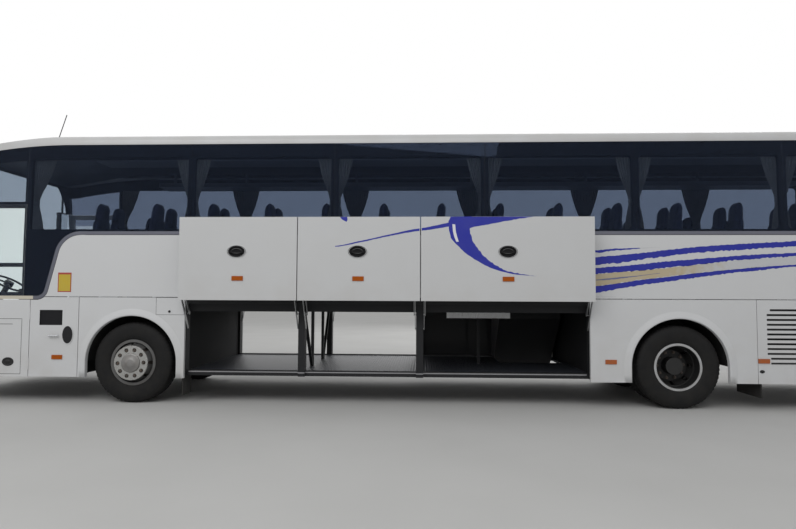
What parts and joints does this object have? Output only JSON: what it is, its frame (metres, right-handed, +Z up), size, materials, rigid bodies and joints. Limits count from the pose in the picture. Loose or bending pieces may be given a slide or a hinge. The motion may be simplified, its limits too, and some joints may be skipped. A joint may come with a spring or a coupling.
{
  "type": "coach bus",
  "caption": "Long-distance coach with tinted side glazing, raised luggage bay doors on parallel links, steered front wheels, twin rear wheels and white paint with blue and beige stripes.",
  "frame": {"origin": "on the ground, under the middle of the coach", "axes": "+X to the rear, +Y to the vehicle's right, +Z up"},
  "size_m": [13.205, 3.148, 3.9356],
  "materials": {
    "tinted_glass": "dark tinted, gloss",
    "clear_glass": "clear, gloss",
    "body_paint": "white gloss with blue and beige stripes",
    "frame_paint": "black satin",
    "moulding": "brushed",
    "lamp_plastic": "coloured lenses",
    "hold_lining": "dark grey, worn",
    "floor_board": "grey floor covering",
    "black_plastic": "black, grained",
    "engine_iron": "grey paint",
    "chassis_iron": "black chassis paint",
    "rubber": "matt",
    "seat_fabric": "dark blue cloth",
    "dash_plastic": "dark grey, grained",
    "rack_plastic": "grey",
    "curtain_fabric": "grey-beige pleated cloth",
    "link_steel": "zinc plated",
    "tyre": "black rubber",
    "wheel_steel": "silver paint"
  },
  "bodies": {
    "coach_body": {"side_windows": "tinted_glass", "windscreen": "clear_glass", "rear_window": "tinted_glass", "body_frame": "frame_paint", "belt_mouldings": "moulding", "roof": "body_paint", "side_panels_left": "body_paint", "side_panels_right": "body_paint", "rear_panel": "body_paint", "front_mask": "body_paint", "lamps": "lamp_plastic", "luggage_hold": "hold_lining", "floors": "floor_board", "arch_liners": "black_plastic", "underframe": "frame_paint", "engine": "engine_iron", "axles": "chassis_iron", "mudflaps": "rubber", "mirrors": "black_plastic", "seats": "seat_fabric", "dashboard": "dash_plastic", "luggage_racks": "rack_plastic", "curtains": "curtain_fabric"},
    "engine_lid": {"engine_lid": "body_paint"},
    "front_door": {"front_door": "body_paint", "front_door_window": "tinted_glass"},
    "middle_door": {"middle_door": "body_paint", "middle_door_window": "tinted_glass"},
    "locker_door": {"locker_door": "body_paint"},
    "knuckle_left": {"knuckle_left": "chassis_iron"},
    "knuckle_right": {"knuckle_right": "chassis_iron"},
    "tie_rod": {"tie_rod": "chassis_iron"},
    "steering_wheel": {"steering_wheel": "dash_plastic"},
    "luggage_door_left_1": {"luggage_door_left_1": "body_paint"},
    "upper_links_left_1": {"upper_links_left_1": "link_steel"},
    "lower_links_left_1": {"lower_links_left_1": "link_steel"},
    "luggage_door_left_2": {"luggage_door_left_2": "body_paint"},
    "upper_links_left_2": {"upper_links_left_2": "link_steel"},
    "lower_links_left_2": {"lower_links_left_2": "link_steel"},
    "luggage_door_left_3": {"luggage_door_left_3": "body_paint"},
    "upper_links_left_3": {"upper_links_left_3": "link_steel"},
    "lower_links_left_3": {"lower_links_left_3": "link_steel"},
    "luggage_door_right_1": {"luggage_door_right_1": "body_paint"},
    "upper_links_right_1": {"upper_links_right_1": "link_steel"},
    "lower_links_right_1": {"lower_links_right_1": "link_steel"},
    "luggage_door_right_2": {"luggage_door_right_2": "body_paint"},
    "upper_links_right_2": {"upper_links_right_2": "link_steel"},
    "lower_links_right_2": {"lower_links_right_2": "link_steel"},
    "front_wheel_left": {"tyre_front_left": "tyre", "wheel_front_left": "wheel_steel"},
    "rear_wheels_left": {"tyre_rear_left": "tyre", "wheel_rear_left": "wheel_steel"},
    "front_wheel_right": {"tyre_front_right": "tyre", "wheel_front_right": "wheel_steel"},
    "rear_wheels_right": {"tyre_rear_right": "tyre", "wheel_rear_right": "wheel_steel"}
  },
  "joints": [
    {"name": "raise_left_1", "type": "hinge", "parent": "coach_body", "child": "upper_links_left_1", "pos_m": [-2.2635, -1.195, 1.165], "axis": [1, 0, 0], "range_deg": [0, 148.1]},
    {"name": "door_pin_left_1", "type": "hinge", "parent": "upper_links_left_1", "child": "luggage_door_left_1", "pos_m": [-2.2635, -1.484, 1.63], "axis": [1, 0, 0], "range_deg": [-148.1, 0]},
    {"name": "lower_links_left_1_pivot", "type": "hinge", "parent": "coach_body", "child": "lower_links_left_1", "pos_m": [-2.2635, -1.195, 0.985], "axis": [1, 0, 0], "range_deg": [0, 148.1]},
    {"name": "raise_left_2", "type": "hinge", "parent": "coach_body", "child": "upper_links_left_2", "pos_m": [-0.7255, -1.195, 1.165], "axis": [1, 0, 0], "range_deg": [0, 148.1]},
    {"name": "door_pin_left_2", "type": "hinge", "parent": "upper_links_left_2", "child": "luggage_door_left_2", "pos_m": [-0.7255, -1.484, 1.63], "axis": [1, 0, 0], "range_deg": [-148.1, 0]},
    {"name": "lower_links_left_2_pivot", "type": "hinge", "parent": "coach_body", "child": "lower_links_left_2", "pos_m": [-0.7255, -1.195, 0.985], "axis": [1, 0, 0], "range_deg": [0, 148.1]},
    {"name": "raise_left_3", "type": "hinge", "parent": "coach_body", "child": "upper_links_left_3", "pos_m": [1.134, -1.195, 1.165], "axis": [1, 0, 0], "range_deg": [0, 148.1]},
    {"name": "door_pin_left_3", "type": "hinge", "parent": "upper_links_left_3", "child": "luggage_door_left_3", "pos_m": [1.134, -1.484, 1.63], "axis": [1, 0, 0], "range_deg": [-148.1, 0]},
    {"name": "lower_links_left_3_pivot", "type": "hinge", "parent": "coach_body", "child": "lower_links_left_3", "pos_m": [1.134, -1.195, 0.985], "axis": [1, 0, 0], "range_deg": [0, 148.1]},
    {"name": "raise_right_1", "type": "hinge", "parent": "coach_body", "child": "upper_links_right_1", "pos_m": [-2.2635, 1.195, 1.165], "axis": [-1, 0, 0], "range_deg": [0, 148.1]},
    {"name": "door_pin_right_1", "type": "hinge", "parent": "upper_links_right_1", "child": "luggage_door_right_1", "pos_m": [-2.2635, 1.484, 1.63], "axis": [-1, 0, 0], "range_deg": [-148.1, 0]},
    {"name": "lower_links_right_1_pivot", "type": "hinge", "parent": "coach_body", "child": "lower_links_right_1", "pos_m": [-2.2635, 1.195, 0.985], "axis": [-1, 0, 0], "range_deg": [0, 148.1]},
    {"name": "raise_right_2", "type": "hinge", "parent": "coach_body", "child": "upper_links_right_2", "pos_m": [-0.7255, 1.195, 1.165], "axis": [-1, 0, 0], "range_deg": [0, 148.1]},
    {"name": "door_pin_right_2", "type": "hinge", "parent": "upper_links_right_2", "child": "luggage_door_right_2", "pos_m": [-0.7255, 1.484, 1.63], "axis": [-1, 0, 0], "range_deg": [-148.1, 0]},
    {"name": "lower_links_right_2_pivot", "type": "hinge", "parent": "coach_body", "child": "lower_links_right_2", "pos_m": [-0.7255, 1.195, 0.985], "axis": [-1, 0, 0], "range_deg": [0, 148.1]},
    {"name": "steer_left", "type": "hinge", "parent": "coach_body", "child": "knuckle_left", "pos_m": [-3.7, -0.93, 0.522], "axis": [0, 0, 1], "range_deg": [-45, 45]},
    {"name": "steer_right", "type": "hinge", "parent": "coach_body", "child": "knuckle_right", "pos_m": [-3.7, 0.93, 0.522], "axis": [0, 0, 1], "range_deg": [-45, 45]},
    {"name": "tie_rod_end", "type": "hinge", "parent": "knuckle_left", "child": "tie_rod", "pos_m": [-3.48, -0.93, 0.409], "axis": [0, 0, 1], "range_deg": [-45, 45]},
    {"name": "steering_wheel_turn", "type": "hinge", "parent": "coach_body", "child": "steering_wheel", "pos_m": [-5.8, -0.65, 1.56], "axis": [0.5, 0, 0.866], "range_deg": [-810, 810]},
    {"name": "roll_front_left", "type": "hinge", "parent": "knuckle_left", "child": "front_wheel_left", "pos_m": [-3.7, -1.09, 0.522], "axis": [0, 1, 0], "continuous": true},
    {"name": "roll_rear_left", "type": "hinge", "parent": "coach_body", "child": "rear_wheels_left", "pos_m": [3.286, -0.925, 0.522], "axis": [0, 1, 0], "continuous": true},
    {"name": "roll_front_right", "type": "hinge", "parent": "knuckle_right", "child": "front_wheel_right", "pos_m": [-3.7, 1.09, 0.522], "axis": [0, 1, 0], "continuous": true},
    {"name": "roll_rear_right", "type": "hinge", "parent": "coach_body", "child": "rear_wheels_right", "pos_m": [3.286, 0.925, 0.522], "axis": [0, 1, 0], "continuous": true},
    {"name": "front_door_swing", "type": "hinge", "parent": "coach_body", "child": "front_door", "pos_m": [-6.0715, 1.275, 0.77], "axis": [0, 0, 1], "range_deg": [0, 100]},
    {"name": "middle_door_swing", "type": "hinge", "parent": "coach_body", "child": "middle_door", "pos_m": [1.246, 1.275, 1.25], "axis": [0, 0, 1], "range_deg": [0, 100]},
    {"name": "locker_door_swing", "type": "hinge", "parent": "coach_body", "child": "locker_door", "pos_m": [-5.063, -1.275, 0.825], "axis": [0, 0, -1], "range_deg": [0, 110]},
    {"name": "engine_lid_lift", "type": "hinge", "parent": "coach_body", "child": "engine_lid", "pos_m": [6.596, 0, 1.376], "axis": [0, -1, 0], "range_deg": [0, 85]}
  ],
  "couplings": [
    {"joint": "door_pin_left_1", "follows": "raise_left_1", "ratio": -1},
    {"joint": "lower_links_left_1_pivot", "follows": "raise_left_1", "ratio": 1},
    {"joint": "door_pin_left_2", "follows": "raise_left_2", "ratio": -1},
    {"joint": "lower_links_left_2_pivot", "follows": "raise_left_2", "ratio": 1},
    {"joint": "door_pin_left_3", "follows": "raise_left_3", "ratio": -1},
    {"joint": "lower_links_left_3_pivot", "follows": "raise_left_3", "ratio": 1},
    {"joint": "door_pin_right_1", "follows": "raise_right_1", "ratio": -1},
    {"joint": "lower_links_right_1_pivot", "follows": "raise_right_1", "ratio": 1},
    {"joint": "door_pin_right_2", "follows": "raise_right_2", "ratio": -1},
    {"joint": "lower_links_right_2_pivot", "follows": "raise_right_2", "ratio": 1},
    {"joint": "steer_right", "follows": "steer_left", "ratio": 1},
    {"joint": "tie_rod_end", "follows": "steer_left", "ratio": -1},
    {"joint": "steering_wheel_turn", "follows": "steer_left", "ratio": 18}
  ]
}
